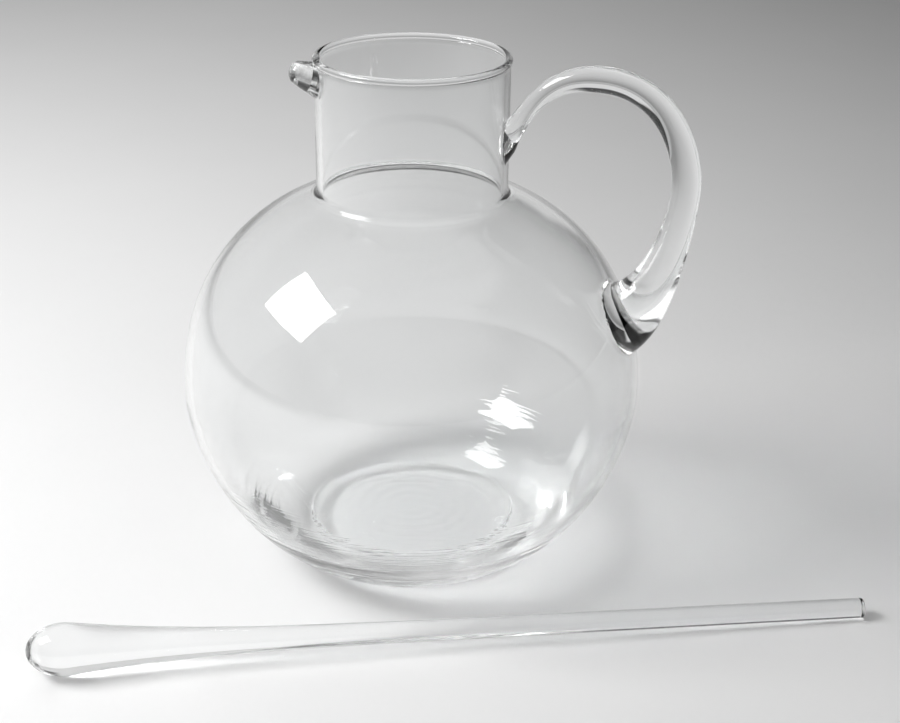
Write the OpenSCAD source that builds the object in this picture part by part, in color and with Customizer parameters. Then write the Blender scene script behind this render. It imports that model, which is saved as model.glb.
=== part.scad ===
// Globe cocktail pitcher of clear blown glass with its glass stirring rod.
// Millimetres, +Z up, origin at the centre of the base where it stands.
// The handle points along +X. The pouring lip is nearly opposite, turned towards -Y.

/* [Bowl] */
// Outside diameter of the globe at its widest
bowl_d = 160; // [120:1:200]
// Height of the widest part above the table
belly_h = 63; // [50:1:80]
// How far the shoulder would close above the widest part
shoulder_rise = 74.5; // [60:0.5:90]
// Fullness of the shoulder, where 2 is a true ellipse
shoulder_power = 2.2; // [2:0.05:2.6]
// Diameter of the flat that the bowl stands on
base_d = 66; // [50:1:84]
// Fullness of the lower bowl, where 2 is a true ellipse
heel_power = 1.7; // [1.5:0.05:2.2]
// Wall thickness of the bowl from the belly up
bowl_wall = 2.4; // [1.5:0.1:4]
// Thickness of the heavy base
base_t = 11; // [6:0.5:14]
// Diameter of the flat floor inside
floor_d = 70; // [56:1:78]
// Fullness of the inner heel
floor_power = 1.6; // [1.4:0.05:2]

/* [Neck and lip] */
// Outside diameter of the neck
neck_d = 65; // [54:0.5:74]
// Wall thickness of the neck
neck_wall = 2; // [1.4:0.1:3]
// Height of the rim above the table
rim_h = 179.5; // [170:0.5:200]
// Thickness of the fire-polished bead on the rim
rim_bead = 2.6; // [2.2:0.1:4]
// How far the bead stands proud of the neck
bead_proud = 0.6; // [0.2:0.1:1]
// Radius of the fillet where the neck meets the shoulder
crease_r = 1.2; // [0.6:0.1:2.5]
// How far the tip of the lip reaches past the neck
lip_reach = 8.6; // [6:0.2:12]
// Thickness of the rounded bead at the lip's tip
lip_bead = 8.4; // [7:0.2:10]
// Width of the pouring channel at the tip
lip_channel_w = 3.8; // [3:0.1:4.8]
// Width of the channel where it leaves the neck
lip_mouth_w = 17; // [12:0.5:20]
// Drop of the tip below the rim
lip_drop = 0.4; // [0:0.1:1.5]
// Height of the lip on the neck
lip_h = 17; // [14:0.5:22]
// Angle of the lip from straight opposite the handle
lip_turn = 28; // [-60:1:60]

/* [Handle] */
// Thickness of the handle's glass rod at the top of the loop
handle_d = 8.8; // [7.6:0.2:10]
// Thickness of the rod in the grip
grip_d = 9.6; // [8.4:0.2:11]
// Thickness of the rod where it is fused to the neck
root_d = 9.2; // [7.6:0.2:10.6]
// Thickness that the drawn rod starts from, above its fused end
waist_d = 4.6; // [3.6:0.2:6.4]
// Drop from the rim to where the rod starts on the neck
root_drop = 27.2; // [24:0.1:32]
// Angle above level at which the rod leaves the neck
root_lean = 58; // [50:1:64]
// Distance from the neck out to the top of the loop
loop_out = 29.9; // [27:0.1:33]
// Drop from the rim to the top of the loop
loop_drop = 3.4; // [1:0.1:6]
// Distance from the neck out to the far side of the grip
grip_out = 60.1; // [56:0.1:66]
// Drop from the rim to that far side
grip_drop = 35.7; // [32:0.1:40]
// Height above the belly at which the handle meets the bowl
foot_up = 32.1; // [28:0.1:36]
// Angle above level from which the rod comes down to the bowl
foot_lean = 24.5; // [20:0.5:32]
// Thickness of the swollen foot on the bowl
foot_d = 27.6; // [23:0.2:29]
// Depth of the foot's centre inside the bowl's outside
foot_sink = 1.8; // [1.4:0.1:3]

/* [Stirring rod] */
// Length of the stirring rod
stir_l = 279; // [220:1:320]
// Thickness of the rod
stir_d = 6.8; // [5.6:0.2:8]
// Thickness of its bulb
stir_bulb_d = 17.2; // [14:0.2:20]
// Length of the bulb's round nose
stir_nose = 12.5; // [9:0.5:15]
// Length over which the bulb runs out into the rod
stir_runout = 36; // [28:1:44]
// Radius on the edge of the fire-polished end
stir_end_r = 0.8; // [0.4:0.1:1.2]
// How far the resting rod lies in under the bowl's widest part
stir_tuck = 3.8; // [-20:0.2:6]
// Angle of the resting rod to the handle's plane
stir_angle = 23.4; // [10:0.2:34]
// How far the rod's bulb lies to the left of the pitcher's axis
stir_left = 120.5; // [100:0.5:140]

/* [Hidden] */
$fn = 96;

// Steps along each curved stretch of an outline
steps = 24;
// Overrun of every cut past the face it opens
overrun = 1;

bowl_r = bowl_d / 2;
base_r = base_d / 2;
floor_r = floor_d / 2;
neck_r = neck_d / 2;
neck_in_r = neck_r - neck_wall;
bowl_in_r = bowl_r - bowl_wall;
shoulder_in_rise = shoulder_rise - bowl_wall;

// Height at which a shoulder of this half width and rise has closed to radius r
function closing_h(r, half, rise) =
    belly_h + rise * pow(1 - pow(r / half, shoulder_power), 1 / shoulder_power);

crease_h = closing_h(neck_r, bowl_r, shoulder_rise);

// Lower curve from a flat of radius flat at height low out to half at the belly, going up
function heel_curve(flat, low, half, power) = [
    for (i = [0 : steps])
        let (a = 90 * i / steps)
            [flat + (half - flat) * pow(sin(a), 2 / power),
             belly_h - (belly_h - low) * pow(cos(a), 2 / power)]
];

// Shoulder curve from the belly up to radius stop, going up
function shoulder_curve(half, rise, stop) =
    let (last = acos(pow(stop / half, shoulder_power / 2)))
    [
        for (i = [1 : steps])
            let (a = last * i / steps)
                [half * pow(cos(a), 2 / shoulder_power),
                 belly_h + rise * pow(sin(a), 2 / shoulder_power)]
    ];

function reversed(list) = [for (i = [len(list) - 1 : -1 : 0]) list[i]];

// Wall of the whole vessel as one turned outline, open at the rim
outer_wall = concat(
    [[0, 0]],
    heel_curve(base_r, 0, bowl_r, heel_power),
    shoulder_curve(bowl_r, shoulder_rise, neck_r));
inner_wall = concat(
    [[0, base_t]],
    heel_curve(floor_r, base_t, bowl_in_r, floor_power),
    shoulder_curve(bowl_in_r, shoulder_in_rise, neck_in_r));
bead_h = rim_h - rim_bead / 2;
bead_x = neck_r + bead_proud - rim_bead / 2;

// Solid outside of the bowl and neck, which the lip and handle are fitted to
module outer_form() {
    rotate_extrude()
        polygon(concat(outer_wall, [[neck_r, bead_h], [0, bead_h]]));
}

// Fillet in the corner between neck and shoulder
module crease_fillet() {
    tangent = outer_wall[len(outer_wall) - 1] - outer_wall[len(outer_wall) - 2];
    slope = atan2(-tangent[1], tangent[0]);
    open_angle = 90 + slope;
    reach = crease_r / tan(open_angle / 2);
    rotate_extrude()
        translate([neck_r, crease_h])
            difference() {
                polygon([
                    [-neck_wall / 2, -neck_wall / 2],
                    [0, reach],
                    [crease_r, reach],
                    [reach * cos(slope), -reach * sin(slope)]]);
                translate([crease_r, reach])
                    circle(r = crease_r);
            }
}

// Rod between two balls of different size that touches both smoothly
module limb(from, from_r, to, to_r) {
    span = to - from;
    length = norm(span);
    lean = asin((from_r - to_r) / length);
    translate(from)
        rotate([0, acos(span[2] / length), atan2(span[1], span[0])])
            translate([0, 0, from_r * sin(lean)])
                cylinder(
                    h = length + (to_r - from_r) * sin(lean),
                    r1 = from_r * cos(lean),
                    r2 = to_r * cos(lean));
    translate(from)
        sphere(r = from_r);
    translate(to)
        sphere(r = to_r);
}

// Pinched pouring lip: a short beak with a channel through the rim
lip_tip_r = lip_bead / 2;
lip_tip = [-(neck_r + lip_reach - lip_tip_r), 0, rim_h - lip_drop - lip_tip_r];
lip_root_r = lip_h / 2;
lip_root = [-(neck_r - lip_root_r + bead_proud), 0, rim_h - lip_root_r];

module lip_body() {
    difference() {
        intersection() {
            limb(lip_root, lip_root_r, lip_tip, lip_tip_r);
            translate([-bowl_d, -bowl_r, 0])
                cube([bowl_d, bowl_d, bead_h + rim_bead / 2]);
        }
        cylinder(r = neck_in_r + neck_wall / 2, h = rim_h + overrun);
    }
}

module lip_channel() {
    channel_r = lip_channel_w / 2;
    mouth_r = lip_mouth_w / 2;
    limb(
        [-(neck_in_r - mouth_r), 0, rim_h],
        mouth_r,
        [lip_tip[0] - lip_tip_r + channel_r, 0, rim_h + channel_r * sin(45)],
        channel_r);
}

module vessel() {
    color("azure", 0.45)
        difference() {
            union() {
                rotate_extrude()
                    polygon(concat(
                        outer_wall,
                        [[neck_r, bead_h], [neck_in_r, bead_h]],
                        reversed(inner_wall)));
                translate([0, 0, bead_h])
                    rotate_extrude()
                        translate([bead_x, 0])
                            circle(r = rim_bead / 2, $fn = 32);
                crease_fillet();
                rotate([0, 0, lip_turn])
                    lip_body();
            }
            rotate([0, 0, lip_turn])
                lip_channel();
        }
}

// Points on the centre line of the handle's rod, in the handle's plane, level and up
root_point = [neck_r - neck_wall / 2, rim_h - root_drop];
top_point = [neck_r + loop_out, rim_h - loop_drop];
grip_point = [neck_r + grip_out, rim_h - grip_drop];
foot_point = [
    bowl_r * pow(1 - pow(foot_up / shoulder_rise, shoulder_power), 1 / shoulder_power) - foot_sink,
    belly_h + foot_up];
root_way = [cos(root_lean), sin(root_lean)];
foot_way = [-cos(foot_lean), -sin(foot_lean)];

// Shares of each span over which the rod still heads the way it left or will arrive
root_share = 0.42;
top_share = 0.8;
grip_share = 0.28;
foot_share = 0.27;
root_lead = root_share * norm(top_point - root_point);
foot_lead = foot_share * norm(grip_point - foot_point);

// Cubic curves from the neck to the top of the loop, on to the grip, and into the foot
root_curve = [
    root_point,
    root_point + root_lead * root_way,
    top_point - [root_lead, 0],
    top_point];
grip_curve = [
    top_point,
    top_point + [top_share * (grip_point[0] - top_point[0]), 0],
    grip_point + [0, grip_share * (top_point[1] - grip_point[1])],
    grip_point];
foot_curve = [
    grip_point,
    grip_point - [0, grip_share * (grip_point[1] - foot_point[1])],
    foot_point - foot_lead * foot_way,
    foot_point];

// Point and heading on a cubic curve, at t from 0 to 1
function on_curve(c, t) =
    pow(1 - t, 3) * c[0] + 3 * t * pow(1 - t, 2) * c[1]
    + 3 * pow(t, 2) * (1 - t) * c[2] + pow(t, 3) * c[3];
function heading(c, t) =
    let (way = pow(1 - t, 2) * (c[1] - c[0]) + 2 * t * (1 - t) * (c[2] - c[1])
        + pow(t, 2) * (c[3] - c[2]))
    way / norm(way);

// Radius of the rod along each curve, at t from 0 to 1
root_r = root_d / 2;
waist_r = waist_d / 2;
handle_r = handle_d / 2;
grip_r = grip_d / 2;
foot_r = foot_d / 2;
thicken_power = 1.3;
fuse_power = 6;
swell_power = 2.5;
function root_width(t) =
    waist_r + (handle_r - waist_r) * pow(t, thicken_power) + (root_r - waist_r) * pow(1 - t, fuse_power);
function grip_width(t) = handle_r + (grip_r - handle_r) * pow(sin(90 * t), 2);
function foot_width(t) = grip_r + (foot_r - grip_r) * pow(t, swell_power);

// Rings of the rod, each with its centre, heading and radius. The first is sunk into
// the neck, which cuts it off, and the last ones round off the foot inside the bowl.
root_run = 1.3 * root_d;
dome_share = 0.98;
root_steps = 16;
grip_steps = 20;
foot_steps = 20;
dome_steps = 7;
rod_rings = concat(
    [[root_point - root_run * root_way, root_way, root_r]],
    [for (i = [0 : root_steps])
        let (t = i / root_steps)
            [on_curve(root_curve, t), heading(root_curve, t), root_width(t)]],
    [for (i = [1 : grip_steps])
        let (t = i / grip_steps)
            [on_curve(grip_curve, t), heading(grip_curve, t), grip_width(t)]],
    [for (i = [1 : foot_steps])
        let (t = i / foot_steps)
            [on_curve(foot_curve, t), heading(foot_curve, t), foot_width(t)]],
    [for (i = [1 : dome_steps])
        let (depth = dome_share * sin(90 * i / dome_steps))
            [foot_point + foot_r * depth * foot_way, foot_way,
             foot_r * sqrt(1 - pow(depth, 2))]]);

// Round rod of changing thickness, as rings of points set along its centre line
module handle_rod() {
    sides = 32;
    last = len(rod_rings) - 1;
    points = [
        for (ring = rod_rings)
            let (side = [-ring[1][1], ring[1][0]])
                for (j = [0 : sides - 1])
                    let (a = 360 * j / sides, at = ring[0] + ring[2] * cos(a) * side)
                        [at[0], ring[2] * sin(a), at[1]]
    ];
    polyhedron(
        points = points,
        faces = concat(
            [[for (j = [0 : sides - 1]) j]],
            [for (i = [0 : last - 1], j = [0 : sides - 1])
                let (k = (j + 1) % sides)
                    [i * sides + j, (i + 1) * sides + j, (i + 1) * sides + k, i * sides + k]],
            [[for (j = [sides - 1 : -1 : 0]) last * sides + j]]),
        convexity = 4);
}

module handle() {
    color("lightcyan", 0.6)
        difference() {
            handle_rod();
            outer_form();
        }
}

// Stirring rod, turned about its own axis from the nose of the bulb
stir_r = stir_d / 2;
stir_bulb_r = stir_bulb_d / 2;
runout_power = 1.1;
runout_share = 3.5;
function runout_r(s) =
    stir_r + (stir_bulb_r - stir_r) * exp(-pow((s - stir_nose) / stir_runout, runout_power));
runout_end = stir_nose + runout_share * stir_runout;

module stir_form() {
    rotate_extrude()
        polygon(concat(
            [for (i = [0 : steps])
                let (a = 90 * i / steps)
                    [stir_bulb_r * sin(a), stir_nose * (1 - cos(a))]],
            [for (i = [1 : steps])
                let (s = stir_nose + (runout_end - stir_nose) * i / steps)
                    [runout_r(s), s]],
            [[stir_r, stir_l - stir_end_r],
             [stir_r - stir_end_r, stir_l],
             [0, stir_l]]));
}

// The rod lies on its bulb and on the edge of its thin end
stir_tilt = asin((stir_bulb_r - stir_r) / (stir_l - stir_end_r - stir_nose));

module stirrer() {
    color("aliceblue", 0.6)
        rotate([0, 0, stir_angle])
            translate([-stir_left, -(bowl_r - stir_tuck), stir_bulb_r])
                rotate([0, 90 + stir_tilt, 0])
                    translate([0, 0, -stir_nose])
                        stir_form();
}

vessel();
handle();
stirrer();
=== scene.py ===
import math

import bmesh
import bpy
from mathutils import Matrix, Vector


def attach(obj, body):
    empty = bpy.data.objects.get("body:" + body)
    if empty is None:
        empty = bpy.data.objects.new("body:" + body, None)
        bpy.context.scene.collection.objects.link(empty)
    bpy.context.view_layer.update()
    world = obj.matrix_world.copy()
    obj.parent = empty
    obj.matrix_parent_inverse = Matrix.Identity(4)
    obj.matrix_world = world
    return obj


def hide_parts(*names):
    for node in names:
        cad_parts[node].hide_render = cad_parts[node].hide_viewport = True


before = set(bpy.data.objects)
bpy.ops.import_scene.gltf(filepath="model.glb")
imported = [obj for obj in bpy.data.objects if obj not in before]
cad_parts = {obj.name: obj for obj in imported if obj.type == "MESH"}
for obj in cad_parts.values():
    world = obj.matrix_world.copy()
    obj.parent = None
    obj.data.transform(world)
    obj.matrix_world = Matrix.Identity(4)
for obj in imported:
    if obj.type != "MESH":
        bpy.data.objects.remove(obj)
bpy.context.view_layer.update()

scene = bpy.context.scene
MM = 0.001

# The glass follows the sizes of part.scad, in metres

# Bowl
BOWL_R = 80 * MM
BELLY_H = 63 * MM
SHOULDER_RISE = 74.5 * MM
SHOULDER_POWER = 2.2
BASE_R = 33 * MM
HEEL_POWER = 1.7
BOWL_WALL = 2.4 * MM
BASE_T = 11 * MM
FLOOR_R = 36.3 * MM
FLOOR_EDGE = math.radians(20)
JOIN_H = 21 * MM
RING_H = 0.5 * MM
RING_HALF_W = 1.1 * MM
FLOOR_WAVE = 0.05 * MM
FLOOR_WAVE_L = 5 * MM
FLOOR_LEAD = 0.3
JOIN_LEAD = 0.3

# Neck, rim bead and lip
NECK_R = 32.5 * MM
NECK_WALL = 2 * MM
RIM_H = 179.5 * MM
BEAD_R = 1.3 * MM
BEAD_PROUD = 0.6 * MM
BEAD_START = math.radians(-35)
BEAD_TURN = math.radians(250)
CREASE_R = 2.5 * MM
INNER_CREASE_R = 4 * MM
LIP_REACH = 8.6 * MM
LIP_DROP = 0.4 * MM
LIP_TIP_R = 4.2 * MM
LIP_ROOT_R = 8.5 * MM
CHANNEL_R = 1.9 * MM
MOUTH_R = 8.5 * MM
LIP_TURN = math.radians(28)

# Handle
ROOT_R = 4.6 * MM
WAIST_R = 2.3 * MM
ROD_R = 4.4 * MM
GRIP_R = 4.8 * MM
FOOT_R = 13.8 * MM
ROOT = Vector((31.5, 0, 152.3)) * MM
TOP = Vector((62.4, 0, 176.1)) * MM
GRIP = Vector((92.6, 0, 143.8)) * MM
FOOT = Vector((72.22, 0, 95.1)) * MM
ROOT_LEAN = math.radians(58)
FOOT_LEAN = math.radians(24.5)
ROOT_SHARE = 0.42
TOP_SHARE = 0.8
GRIP_SHARE = 0.28
FOOT_SHARE = 0.27
ROOT_RUN = 12 * MM
THICKEN_POWER = 1.3
FUSE_POWER = 6
SWELL_POWER = 2.5
FOOT_CAP_SHARE = 0.98

# Stirring rod
STIR_L = 278.9 * MM
STIR_R = 3.4 * MM
BULB_R = 8.6 * MM
NOSE = 12.5 * MM
RUNOUT = 36 * MM
RUNOUT_POWER = 1.1
RUNOUT_SPAN = 3.5 * RUNOUT
END_R = 0.8 * MM
STIR_GAP = 76.15 * MM
STIR_ANGLE = math.radians(23.4)
STIR_LEFT = 120.5 * MM

# Facets round each turned or swept piece, and the angle from which an edge stays sharp
VESSEL_SIDES = 256
CORE_SIDES = 180
LIMB_SIDES = 96
ROD_SIDES = 64
SHARP_ANGLE = math.radians(50)

# The studio is set square to the camera, which looks this far round from +Y
VIEW_ANGLE = math.radians(15)
VIEW_TURN = Matrix.Rotation(VIEW_ANGLE, 4, "Z")


# Outlines

def heel_curve(flat, low, half, power, steps):
    """From a flat of radius flat at height low out to half at the belly, going up."""
    out = []
    for i in range(steps + 1):
        a = math.pi / 2 * i / steps
        out.append((flat + (half - flat) * math.sin(a) ** (2 / power),
                    BELLY_H - (BELLY_H - low) * max(0, math.cos(a)) ** (2 / power)))
    return out


def shoulder_curve(half, rise, stop, steps):
    """From half at the belly up to the radius at which it stops, below a height of rise."""
    last = math.acos((stop / half) ** (SHOULDER_POWER / 2))
    out = []
    for i in range(1, steps + 1):
        a = last * i / steps
        out.append((half * math.cos(a) ** (2 / SHOULDER_POWER),
                    BELLY_H + rise * math.sin(a) ** (2 / SHOULDER_POWER)))
    return out


def inner_heel(outer):
    """From the edge of the inner floor, up at an angle, to the even wall inside an outer outline."""
    wall = []
    for before, at, after in zip(outer, outer[1:], outer[2:]):
        way = (Vector(after) - Vector(before)).normalized()
        inside = Vector(at) + BOWL_WALL * Vector((-way.y, way.x))
        if at[1] > JOIN_H and inside.y < BELLY_H:
            wall.append((inside, way))
    (end, way), start = wall[0], Vector((FLOOR_R + RING_HALF_W, BASE_T))
    span = (end - start).length
    curve = (start, start + FLOOR_LEAD * span * Vector((math.cos(FLOOR_EDGE), math.sin(FLOOR_EDGE))),
             end - JOIN_LEAD * span * way, end)
    return [tuple(on_curve(curve, i / 40)) for i in range(41)] + [tuple(w[0]) for w in wall[1:]]


def inner_floor():
    """Inner floor with faint rings, up to the fine ridge round its edge."""
    out = []
    flat = FLOOR_R - RING_HALF_W
    for i in range(61):
        r = flat * i / 60
        wave = FLOOR_WAVE * math.sin(math.pi * i / 60) * math.cos(2 * math.pi * r / FLOOR_WAVE_L)
        out.append((r, BASE_T + wave))
    for i in range(1, 17):
        share = i / 8 - 1
        out.append((FLOOR_R + share * RING_HALF_W, BASE_T + RING_H * (1 + math.cos(math.pi * share)) / 2))
    return out


def straight(a, b, steps):
    """Points after a up to b."""
    return [(a[0] + (b[0] - a[0]) * i / steps, a[1] + (b[1] - a[1]) * i / steps)
            for i in range(1, steps + 1)]


def rounded(points, corner, radius, steps=14):
    """Points with the corner at an index replaced by an arc that touches both sides."""
    p = Vector(points[corner])
    to_a = (Vector(points[corner - 1]) - p).normalized()
    to_b = (Vector(points[corner + 1]) - p).normalized()
    half = to_a.angle(to_b) / 2
    reach = radius / math.tan(half)
    before, after = points[:corner], points[corner + 1:]
    while (Vector(before[-1]) - p).length < reach:
        before = before[:-1]
    while (Vector(after[0]) - p).length < reach:
        after = after[1:]
    start, end = p + to_a * reach, p + to_b * reach
    centre = p + (to_a + to_b).normalized() * radius / math.sin(half)
    arc = []
    for i in range(steps + 1):
        way = (start - centre).lerp(end - centre, i / steps).normalized()
        arc.append(tuple(centre + way * radius))
    return before + arc + after


def wall_outline():
    """Closed outline of the vessel's wall from under the base, round the rim, to the floor."""
    bead_h = RIM_H - BEAD_R
    bead_x = NECK_R + BEAD_PROUD - BEAD_R
    neck_in = NECK_R - NECK_WALL
    outer = [(0, 0)] + straight((0, 0), (BASE_R, 0), 10)
    outer += heel_curve(BASE_R, 0, BOWL_R, HEEL_POWER, 60)[1:]
    outer += shoulder_curve(BOWL_R, SHOULDER_RISE, NECK_R, 60)
    crease = len(outer) - 1
    outer += straight(outer[-1], (NECK_R, bead_h - BEAD_R), 40)
    outer = rounded(outer, crease, CREASE_R)
    bead = []
    for i in range(19):
        a = BEAD_START + BEAD_TURN * i / 18
        bead.append((bead_x + BEAD_R * math.cos(a), bead_h + BEAD_R * math.sin(a)))
    bead = [b for b in bead if b[0] >= neck_in]
    inner = inner_floor()
    inner += inner_heel(heel_curve(BASE_R, 0, BOWL_R, HEEL_POWER, 90))[1:]
    inner += shoulder_curve(BOWL_R - BOWL_WALL, SHOULDER_RISE - BOWL_WALL, neck_in, 60)
    inner_crease = len(inner) - 1
    inner += straight(inner[-1], (neck_in, bead_h - BEAD_R), 40)
    inner = rounded(inner, inner_crease, INNER_CREASE_R)
    return outer + bead + inner[::-1]


def turned(name, outline, sides):
    """Mesh of an outline turned about Z. Points at radius zero become poles."""
    angles = [2 * math.pi * i / sides for i in range(sides)]
    bm = bmesh.new()
    rows = []
    for r, z in outline:
        if r < 1e-7:
            rows.append([bm.verts.new((0, 0, z))])
            continue
        rows.append([bm.verts.new((r * math.cos(a), r * math.sin(a), z)) for a in angles])
    for low, high in zip(rows, rows[1:]):
        for j in range(sides):
            k = (j + 1) % sides
            if len(low) == 1:
                bm.faces.new((low[0], high[k], high[j]))
            elif len(high) == 1:
                bm.faces.new((low[j], low[k], high[0]))
            else:
                bm.faces.new((low[j], low[k], high[k], high[j]))
    return finished(name, bm)


def finished(name, bm):
    """Object of a bmesh, smooth and with its faces turned outwards."""
    for f in bm.faces:
        f.smooth = True
    bmesh.ops.recalc_face_normals(bm, faces=bm.faces)
    mesh = bpy.data.meshes.new(name)
    bm.to_mesh(mesh)
    bm.free()
    obj = bpy.data.objects.new(name, mesh)
    scene.collection.objects.link(obj)
    return obj


def limb(name, start, start_r, end, end_r):
    """Rod between two balls of different size that touches both smoothly."""
    length = (end - start).length
    lean = math.asin((start_r - end_r) / length)
    outline = []
    for i in range(33):
        a = -math.pi / 2 + (math.pi / 2 + lean) * i / 32
        outline.append((start_r * math.cos(a), start_r * math.sin(a)))
    last = (end_r * math.cos(lean), length + end_r * math.sin(lean))
    outline += straight(outline[-1], last, 16)
    for i in range(1, 33):
        a = lean + (math.pi / 2 - lean) * i / 32
        outline.append((end_r * max(0, math.cos(a)), length + end_r * math.sin(a)))
    outline[0], outline[-1] = (0, -start_r), (0, length + end_r)
    obj = turned(name, outline, LIMB_SIDES)
    facing = (end - start).to_track_quat("Z", "Y").to_matrix().to_4x4()
    obj.data.transform(Matrix.Rotation(LIP_TURN, 4, "Z") @ Matrix.Translation(start) @ facing)
    return obj


# Handle rod

def on_curve(c, t):
    """Point at share t of a curve of four points."""
    s = 1 - t
    return s ** 3 * c[0] + 3 * s * s * t * c[1] + 3 * s * t * t * c[2] + t ** 3 * c[3]


def heading(c, t):
    """Direction of that curve at share t."""
    s = 1 - t
    return (s * s * (c[1] - c[0]) + 2 * s * t * (c[2] - c[1]) + t * t * (c[3] - c[2])).normalized()


def handle_rings():
    """Centre, heading and radius of each ring of the rod, as in part.scad."""
    root_way = Vector((math.cos(ROOT_LEAN), 0, math.sin(ROOT_LEAN)))
    foot_way = -Vector((math.cos(FOOT_LEAN), 0, math.sin(FOOT_LEAN)))
    root_lead = ROOT_SHARE * (TOP - ROOT).length
    foot_lead = FOOT_SHARE * (GRIP - FOOT).length
    x, z = Vector((1, 0, 0)), Vector((0, 0, 1))
    root = (ROOT, ROOT + root_lead * root_way, TOP - root_lead * x, TOP)
    grip = (TOP, TOP + TOP_SHARE * (GRIP.x - TOP.x) * x, GRIP + GRIP_SHARE * (TOP.z - GRIP.z) * z, GRIP)
    foot = (GRIP, GRIP - GRIP_SHARE * (GRIP.z - FOOT.z) * z, FOOT - foot_lead * foot_way, FOOT)
    rings = [(ROOT - ROOT_RUN * root_way, root_way, ROOT_R)]
    for i in range(41):
        t = i / 40
        rings.append((on_curve(root, t), heading(root, t),
                      WAIST_R + (ROD_R - WAIST_R) * t ** THICKEN_POWER
                      + (ROOT_R - WAIST_R) * (1 - t) ** FUSE_POWER))
    for i in range(1, 57):
        t = i / 56
        rings.append((on_curve(grip, t), heading(grip, t),
                      ROD_R + (GRIP_R - ROD_R) * math.sin(math.pi / 2 * t) ** 2))
    for i in range(1, 57):
        t = i / 56
        rings.append((on_curve(foot, t), heading(foot, t),
                      GRIP_R + (FOOT_R - GRIP_R) * t ** SWELL_POWER))
    for i in range(1, 13):
        depth = FOOT_CAP_SHARE * math.sin(math.pi / 2 * i / 12)
        rings.append((FOOT + FOOT_R * depth * foot_way, foot_way, FOOT_R * math.sqrt(1 - depth ** 2)))
    return rings


def rod_mesh(name, rings, sides=ROD_SIDES):
    """Mesh of a rod in the plane of X and Z through its rings, closed at both ends."""
    bm = bmesh.new()
    rows = []
    for centre, way, radius in rings:
        side = Vector((-way.z, 0, way.x))
        rows.append([
            bm.verts.new(centre + radius * (math.cos(a) * side + math.sin(a) * Vector((0, 1, 0))))
            for a in (2 * math.pi * j / sides for j in range(sides))])
    for low, high in zip(rows, rows[1:]):
        for j in range(sides):
            k = (j + 1) % sides
            bm.faces.new((low[j], low[k], high[k], high[j]))
    bm.faces.new(rows[0][::-1])
    bm.faces.new(rows[-1])
    return finished(name, bm)


def apply_boolean(obj, other, operation):
    """Join another closed mesh to this one, or cut it off."""
    mod = obj.modifiers.new("cut", "BOOLEAN")
    mod.operation = operation
    mod.solver = "MANIFOLD"
    mod.object = other
    bpy.context.view_layer.update()
    done = bpy.data.meshes.new_from_object(obj.evaluated_get(bpy.context.evaluated_depsgraph_get()))
    obj.modifiers.remove(mod)
    obj.data = done


def drop(obj):
    bpy.data.objects.remove(obj, do_unlink=True)


# Materials

GLASS_TINT = (0.985, 0.99, 0.99, 1)
GLASS_IOR = 1.5
# Trace of haze, where its noise lies between these values
HAZE_SCALE = 60
HAZE_FROM = (0.45, 0.8)
HAZE_ROUGHNESS = 0.03
# Waves of each piece of glass: scale of the noise and depth
VESSEL_WAVES = (14, 0.4 * MM)
STIRRER_WAVES = (30, 0.1 * MM)
# Ripples round the lower bowl, which fade out between these heights
RIPPLE_SCALE = (12, 12, 380)
RIPPLE_DEPTH = 0.18 * MM
RIPPLE_TOP = 55 * MM
RIPPLE_FULL = 20 * MM


def new_material(name):
    mat = bpy.data.materials.new(name)
    mat.use_nodes = True
    return mat, mat.node_tree.nodes, mat.node_tree.links


def maths(nodes, links, operation, *values):
    """Result of a Math node on sockets or numbers."""
    node = nodes.new("ShaderNodeMath")
    node.operation = operation
    for i, value in enumerate(values):
        if isinstance(value, (int, float)):
            node.inputs[i].default_value = value
        else:
            links.new(value, node.inputs[i])
    return node.outputs["Value"]


def mapped(nodes, links, value, to_min, to_max, from_min=0, from_max=1, soft=False):
    """A value taken from one range to another, evenly or with a soft start and end."""
    node = nodes.new("ShaderNodeMapRange")
    if soft:
        node.interpolation_type = "SMOOTHSTEP"
    node.inputs["From Min"].default_value = from_min
    node.inputs["From Max"].default_value = from_max
    node.inputs["To Min"].default_value = to_min
    node.inputs["To Max"].default_value = to_max
    links.new(value, node.inputs["Value"])
    return node.outputs["Result"]


def smooth_step(nodes, links, value, start, end):
    """0 before start and 1 past end, with a soft change between them."""
    return mapped(nodes, links, value, 0, 1, start, end, soft=True)


def noise(nodes, links, where, scale, detail=2):
    node = nodes.new("ShaderNodeTexNoise")
    node.inputs["Scale"].default_value = scale
    node.inputs["Detail"].default_value = detail
    links.new(where, node.inputs["Vector"])
    return node.outputs["Fac"]


def bumped(nodes, links, height, depth, normal=None):
    """Normal of a surface with this relief, on top of another one if given."""
    node = nodes.new("ShaderNodeBump")
    node.inputs["Strength"].default_value = 1
    node.inputs["Distance"].default_value = depth
    links.new(height, node.inputs["Height"])
    if normal is not None:
        links.new(normal, node.inputs["Normal"])
    return node.outputs["Normal"]


def glass(name, waves, wave_depth, ripple_depth=0):
    """Clear glass with the slow waviness of hand work, a trace of haze and ripples round its base."""
    mat, nodes, links = new_material(name)
    bsdf = nodes["Principled BSDF"]
    bsdf.inputs["Base Color"].default_value = GLASS_TINT
    bsdf.inputs["IOR"].default_value = GLASS_IOR
    bsdf.inputs["Transmission Weight"].default_value = 1
    where = nodes.new("ShaderNodeTexCoord").outputs["Object"]
    normal = bumped(nodes, links, noise(nodes, links, where, waves, detail=1), wave_depth)
    if ripple_depth:
        normal = ripple_normal(nodes, links, where, normal, ripple_depth)
    haze = mapped(nodes, links, noise(nodes, links, where, HAZE_SCALE), 0, HAZE_ROUGHNESS, *HAZE_FROM)
    links.new(normal, bsdf.inputs["Normal"])
    links.new(haze, bsdf.inputs["Roughness"])
    return mat


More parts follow.
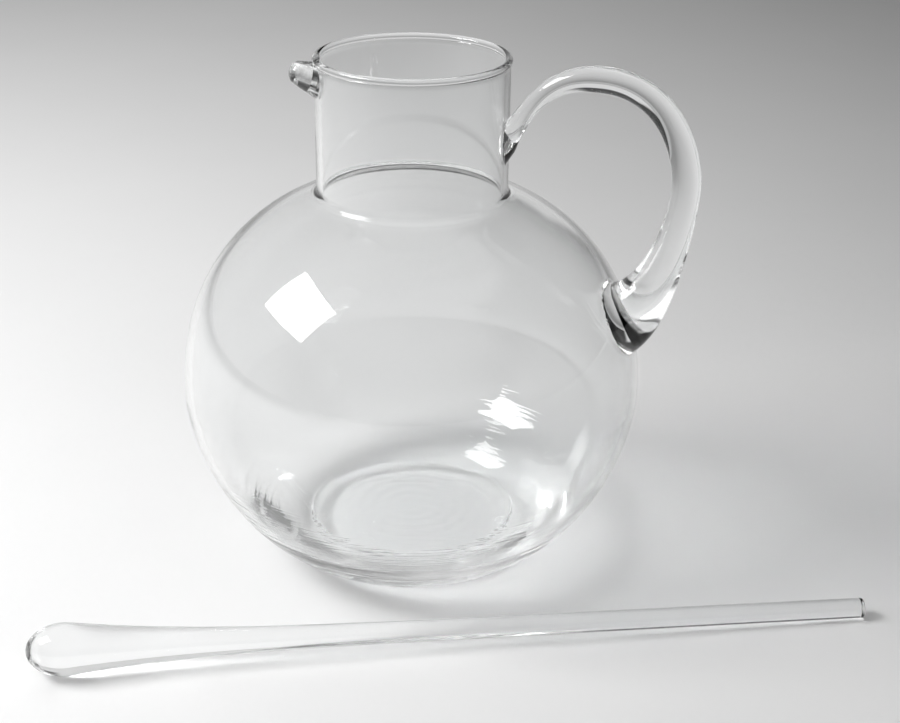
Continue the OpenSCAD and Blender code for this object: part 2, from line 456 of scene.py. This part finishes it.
def ripple_normal(nodes, links, where, normal, depth):
    """Long fine ripples that the shaping block left round the lower bowl, fading out upwards."""
    stretch = nodes.new("ShaderNodeMapping")
    stretch.inputs["Scale"].default_value = RIPPLE_SCALE
    split = nodes.new("ShaderNodeSeparateXYZ")
    links.new(where, stretch.inputs["Vector"])
    links.new(where, split.inputs["Vector"])
    fine = noise(nodes, links, stretch.outputs["Vector"], 1)
    fade = smooth_step(nodes, links, split.outputs["Z"], RIPPLE_TOP, RIPPLE_FULL)
    return bumped(nodes, links, maths(nodes, links, "MULTIPLY", fine, fade), depth, normal)


# Studio

# The camera's place, the way it looks and the lamp's place are as the camera's frame has them:
# X to the right, Y straight back, Z up
CAMERA_AT = Vector((0.0135, -0.5516, 0.3146))
CAMERA_WAY = Vector((0, 0.9138, -0.4062))
CAMERA_ROLL = math.radians(0.70)
CAMERA_LENS = 68.1
CAMERA_SENSOR = 36
LAMP_AT = Vector((-0.79, -0.15, 0.763))
LAMP_SIZE = (0.56, 0.42)
LAMP_ENERGY = 9.7

# Paper sweep, from near to far and to each side, as far under the glass as keeps them apart
FLOOR_NEAR = -3.0
FLOOR_FAR = 7.0
FLOOR_SIDE = 6.0
FLOOR_SINK = 0.15 * MM
PAPER_ROUGHNESS = 0.9
GRAIN_SCALE = 9
GRAIN_DETAIL = 8
GRAIN_TONE = 0.02
# Tone of the floor, and where the painted light on it is brightest. The painted light falls off
# into painted shade with the distance from there, counted in full across and in part along the
# view, and the colour rises again far behind.
FLOOR_TONE = 0.915
PAINTED_LIGHT_X = -0.42
PAINTED_LIGHT_Y = -0.633
PAINTED_LIGHT_SPREAD_X = 0.975
PAINTED_LIGHT_SPREAD_Y = 0.443
PAINTED_FALL_OFF_POWER = 2.955
# The painted shade of the floor goes no darker than this
LEAST_PAINTED_SHADE_TONE = 0.42
FAR_TONE = 0.9
FAR_FROM = (0.95, 1.6)

WALL_TONE = 0.66
DARK_TONE = 0.02
# The studio is dark at the back on the right, between these directions in degrees round from
# straight back and up to this height, except behind the sweep's top and side
DARK_FROM = (-8, 6)
DARK_TO = (110, 140)
DARK_UP_TO = (50, 62)
SWEEP_TOP = (11, 16)
SWEEP_SIDE = (20, 27)
# It is dark behind the camera too, from this far round to either side and up to this height
FRONT_FROM = (100, 130)
FRONT_UP_TO = (15, 45)
LIGHT_BOUNCES = 40


def floor_material():
    """Pale paper sweep with a fine grain and painted light, whose colour falls off into painted shade
    away from the lamp.
    """
    mat, nodes, links = new_material("pale_sweep_with_painted_light")
    bsdf = nodes["Principled BSDF"]
    bsdf.inputs["Roughness"].default_value = PAPER_ROUGHNESS
    bsdf.inputs["Specular IOR Level"].default_value = 0
    where = nodes.new("ShaderNodeTexCoord").outputs["Object"]
    spread = nodes.new("ShaderNodeMapping")
    spread.inputs["Location"].default_value = (-PAINTED_LIGHT_X * PAINTED_LIGHT_SPREAD_X, -PAINTED_LIGHT_Y * PAINTED_LIGHT_SPREAD_Y, 0)
    spread.inputs["Scale"].default_value = (PAINTED_LIGHT_SPREAD_X, PAINTED_LIGHT_SPREAD_Y, 0)
    reach = nodes.new("ShaderNodeVectorMath")
    reach.operation = "LENGTH"
    split = nodes.new("ShaderNodeSeparateXYZ")
    back = nodes.new("ShaderNodeMix")
    back.data_type = "FLOAT"
    back.inputs["B"].default_value = FAR_TONE
    links.new(where, spread.inputs["Vector"])
    links.new(where, split.inputs["Vector"])
    links.new(spread.outputs["Vector"], reach.inputs[0])
    grain = mapped(nodes, links, noise(nodes, links, where, GRAIN_SCALE, GRAIN_DETAIL),
                   FLOOR_TONE - GRAIN_TONE, FLOOR_TONE + GRAIN_TONE)
    # Painted light: the paper's colour is divided down with the distance from the brightest spot, as
    # painted shade
    painted_fall_off = maths(nodes, links, "POWER", reach.outputs["Value"], PAINTED_FALL_OFF_POWER)
    grain_and_painted_light = maths(nodes, links, "DIVIDE", grain, maths(nodes, links, "ADD", painted_fall_off, 1))
    links.new(maths(nodes, links, "MAXIMUM", grain_and_painted_light, LEAST_PAINTED_SHADE_TONE), back.inputs["A"])
    links.new(smooth_step(nodes, links, split.outputs["Y"], *FAR_FROM), back.inputs["Factor"])
    links.new(back.outputs["Result"], bsdf.inputs["Base Color"])
    return mat


def build_floor():
    bm = bmesh.new()
    corners = [(-FLOOR_SIDE, FLOOR_NEAR), (FLOOR_SIDE, FLOOR_NEAR),
               (FLOOR_SIDE, FLOOR_FAR), (-FLOOR_SIDE, FLOOR_FAR)]
    bm.faces.new([bm.verts.new((x, y, -FLOOR_SINK)) for x, y in corners])
    obj = finished("floor", bm)
    obj.matrix_world = VIEW_TURN
    obj.data.materials.append(floor_material())


def build_lamp():
    """Softbox that looks at the bowl."""
    data = bpy.data.lights.new("key_softbox", "AREA")
    data.shape = "RECTANGLE"
    data.size, data.size_y = LAMP_SIZE
    data.energy = LAMP_ENERGY
    obj = bpy.data.objects.new("key_softbox", data)
    facing = (LAMP_AT - Vector((0, 0, BELLY_H))).to_track_quat("Z", "Y").to_matrix().to_4x4()
    obj.matrix_world = VIEW_TURN @ Matrix.Translation(LAMP_AT) @ facing
    scene.collection.objects.link(obj)


def angle_step(nodes, links, angle, degrees):
    """smooth_step of an angle between two angles in degrees."""
    return smooth_step(nodes, links, angle, *[math.radians(d) for d in degrees])


def build_world():
    """Pale studio walls and ceiling, dark at the back on the right and behind the camera."""
    world = bpy.data.worlds.new("studio")
    scene.world = world
    world.use_nodes = True
    nodes, links = world.node_tree.nodes, world.node_tree.links
    where = nodes.new("ShaderNodeTexCoord")
    turn = nodes.new("ShaderNodeMapping")
    turn.inputs["Rotation"].default_value = (0, 0, -VIEW_ANGLE)
    split = nodes.new("ShaderNodeSeparateXYZ")
    links.new(where.outputs["Generated"], turn.inputs["Vector"])
    links.new(turn.outputs["Vector"], split.inputs["Vector"])
    round_by = maths(nodes, links, "ARCTAN2", split.outputs["X"], split.outputs["Y"])
    up_by = maths(nodes, links, "ARCSINE", split.outputs["Z"])
    dark = angle_step(nodes, links, round_by, DARK_FROM)
    beside = angle_step(nodes, links, round_by, SWEEP_SIDE)
    above = angle_step(nodes, links, up_by, SWEEP_TOP)
    for limit in (angle_step(nodes, links, round_by, DARK_TO[::-1]),
                  angle_step(nodes, links, up_by, DARK_UP_TO[::-1]),
                  maths(nodes, links, "MAXIMUM", above, beside)):
        dark = maths(nodes, links, "MULTIPLY", dark, limit)
    either_side = maths(nodes, links, "ABSOLUTE", round_by)
    front = maths(nodes, links, "MULTIPLY",
                  angle_step(nodes, links, either_side, FRONT_FROM),
                  angle_step(nodes, links, up_by, FRONT_UP_TO[::-1]))
    dark = maths(nodes, links, "MAXIMUM", dark, front)
    links.new(mapped(nodes, links, dark, WALL_TONE, DARK_TONE), nodes["Background"].inputs["Color"])


def build_studio():
    build_floor()
    build_lamp()
    build_world()
    scene.view_settings.view_transform = "Standard"
    # Light is guided a long way round inside the wall before it leaves the glass
    scene.cycles.max_bounces = LIGHT_BOUNCES
    scene.cycles.glossy_bounces = LIGHT_BOUNCES
    scene.cycles.transmission_bounces = LIGHT_BOUNCES
    # Glass passes the lamp's light on to the floor sharp and at full strength
    scene.cycles.blur_glossy = 0
    scene.cycles.sample_clamp_indirect = 0


def build_camera():
    data = bpy.data.cameras.new("camera")
    data.sensor_width = CAMERA_SENSOR
    data.lens = CAMERA_LENS
    obj = bpy.data.objects.new("camera", data)
    facing = CAMERA_WAY.to_track_quat("-Z", "Y").to_matrix().to_4x4()
    obj.matrix_world = (VIEW_TURN @ Matrix.Translation(CAMERA_AT) @ facing
                        @ Matrix.Rotation(CAMERA_ROLL, 4, "Z"))
    scene.collection.objects.link(obj)
    scene.camera = obj


# Pieces

def fused_core():
    """Solid that fills the bowl to the middle of its wall, for trimming the handle's ends."""
    inside = [(0, BASE_T / 2)] + heel_curve(BASE_R, BASE_T / 2, BOWL_R - BOWL_WALL / 2, HEEL_POWER, 40)
    inside += shoulder_curve(BOWL_R - BOWL_WALL / 2, SHOULDER_RISE - BOWL_WALL / 2,
                             NECK_R - NECK_WALL / 2, 40)
    inside += [(NECK_R - NECK_WALL / 2, RIM_H), (0, RIM_H)]
    return turned("core", inside, CORE_SIDES)


def build_pitcher():
    """Vessel, lip and handle as one piece of glass."""
    vessel = turned("pitcher_vessel", wall_outline(), VESSEL_SIDES)
    handle = rod_mesh("pitcher_handle", handle_rings())
    core = fused_core()
    apply_boolean(handle, core, "DIFFERENCE")
    root = Vector((-(NECK_R - LIP_ROOT_R + BEAD_PROUD), 0, RIM_H - LIP_ROOT_R))
    tip = Vector((-(NECK_R + LIP_REACH - LIP_TIP_R), 0, RIM_H - LIP_DROP - LIP_TIP_R))
    beak = limb("lip_beak", root, LIP_ROOT_R, tip, LIP_TIP_R)
    apply_boolean(beak, core, "DIFFERENCE")
    drop(core)
    mouth = Vector((-(NECK_R - NECK_WALL - MOUTH_R), 0, RIM_H))
    spout = Vector((tip.x - LIP_TIP_R + CHANNEL_R, 0, RIM_H + CHANNEL_R * math.sin(math.pi / 4)))
    channel = limb("lip_channel", mouth, MOUTH_R, spout, CHANNEL_R)
    for other, operation in ((beak, "UNION"), (channel, "DIFFERENCE"), (handle, "UNION")):
        apply_boolean(vessel, other, operation)
        drop(other)
    # The joins leave an empty material slot on the mesh
    vessel.data.materials.clear()
    vessel.data.materials.append(glass("vessel_clear_glass", *VESSEL_WAVES, RIPPLE_DEPTH))
    vessel.data.shade_smooth()
    vessel.data.set_sharp_from_angle(angle=SHARP_ANGLE)
    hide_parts("vessel", "handle")
    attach(vessel, "pitcher")


def stir_outline():
    """From the bulb's nose at height zero, along its run-out and the rod, to the cut end."""
    out = []
    for i in range(25):
        a = math.pi / 2 * i / 24
        out.append((BULB_R * math.sin(a), NOSE * (1 - math.cos(a))))
    for i in range(1, 61):
        s = RUNOUT_SPAN * i / 60
        out.append((STIR_R + (BULB_R - STIR_R) * math.exp(-(s / RUNOUT) ** RUNOUT_POWER), NOSE + s))
    out += straight(out[-1], (STIR_R, STIR_L - END_R), 40)
    for i in range(1, 9):
        a = math.pi / 2 * i / 8
        out.append((STIR_R - END_R * (1 - math.cos(a)), STIR_L - END_R * (1 - math.sin(a))))
    out.append((0, STIR_L))
    return out


def build_stirrer():
    """Rod that lies on its bulb and its far end in front of the pitcher."""
    obj = turned("stirring_rod", stir_outline(), ROD_SIDES)
    tilt = math.asin((BULB_R - STIR_R) / (STIR_L - END_R - NOSE))
    place = (Matrix.Rotation(STIR_ANGLE, 4, "Z")
             @ Matrix.Translation((-STIR_LEFT, -STIR_GAP, BULB_R))
             @ Matrix.Rotation(math.pi / 2 + tilt, 4, "Y")
             @ Matrix.Translation((0, 0, -NOSE)))
    obj.data.transform(place)
    obj.data.materials.append(glass("stirrer_clear_glass", *STIRRER_WAVES))
    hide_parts("stirrer")
    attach(obj, "stirrer")


build_camera()
build_studio()
build_pitcher()
build_stirrer()
